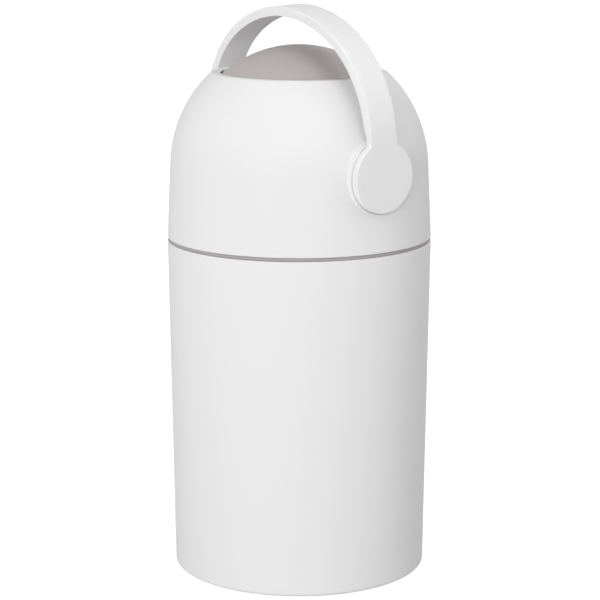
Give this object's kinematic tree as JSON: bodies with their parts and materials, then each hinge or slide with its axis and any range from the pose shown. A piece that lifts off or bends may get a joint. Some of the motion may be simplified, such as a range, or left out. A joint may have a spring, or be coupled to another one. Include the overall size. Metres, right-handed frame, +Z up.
{
  "type": "nappy bin",
  "caption": "Cylindrical nappy bin with a domed head, an upright loop handle and a ball-shaped drum that tips nappies into the bag below.",
  "frame": {"origin": "on the floor under the centre of the round base", "axes": "+Z up, +X along the handle's pivot axis, -Y to the front; the head's hinge is at the rear, at +Y"},
  "size_m": [0.2846, 0.2882, 0.6035],
  "materials": {
    "white_plastic": "matte moulded polypropylene",
    "grey_plastic": "satin grey polypropylene",
    "warm_grey_plastic": "satin warm grey ABS",
    "pale_inner_plastic": "pale grey polypropylene",
    "seal_rubber": "soft seal rubber",
    "foot_rubber": "matte anti-slip rubber",
    "ivory_plastic": "acetal, slightly glossy",
    "steel": "zinc-plated steel",
    "glide_felt": "pressed felt"
  },
  "bodies": {
    "bucket": {"bucket": "white_plastic", "foot_ring": "foot_rubber"},
    "bag_ring": {"bag_ring": "grey_plastic", "ring_seal": "seal_rubber", "hinge_pin": "steel"},
    "head": {"head_shell": "white_plastic", "drum_housing": "pale_inner_plastic", "housing_screws": "steel", "upper_seal": "seal_rubber", "seal_retainer": "pale_inner_plastic", "lower_seal": "seal_rubber", "axle_bush_left": "ivory_plastic", "axle_bush_right": "ivory_plastic", "turn_stop": "ivory_plastic", "stop_screws": "steel", "front_catch": "ivory_plastic", "catch_screws": "steel"},
    "drum": {"handle": "white_plastic", "axle_left": "ivory_plastic", "axle_right": "ivory_plastic", "axle_screws": "steel", "drum_half_upper": "warm_grey_plastic", "drum_half_lower": "warm_grey_plastic", "drum_screws": "steel", "chute_tube": "pale_inner_plastic", "chute_collar_front": "warm_grey_plastic", "chute_collar_rear": "warm_grey_plastic"},
    "piston": {"piston_cup_front": "pale_inner_plastic", "piston_cup_rear": "pale_inner_plastic", "piston_weight": "steel", "glide_ring_front": "glide_felt", "glide_ring_rear": "glide_felt", "piston_screws": "steel"}
  },
  "joints": [
    {"name": "ring_lift", "type": "slide", "parent": "bucket", "child": "bag_ring", "axis": [0, 0, 1], "range_m": [0, 0.06]},
    {"name": "head_open", "type": "hinge", "parent": "bag_ring", "child": "head", "pos_m": [0, 0.1442, 0.3607], "axis": [-1, 0, 0], "range_deg": [0, 95]},
    {"name": "handle_turn", "type": "hinge", "parent": "head", "child": "drum", "pos_m": [0, 0, 0.4375], "axis": [1, 0, 0], "range_deg": [-92.5, 87.5]},
    {"name": "piston_slide", "type": "slide", "parent": "drum", "child": "piston", "axis": [0, 0.999, 0.0436], "range_m": [0, 0.136]}
  ]
}
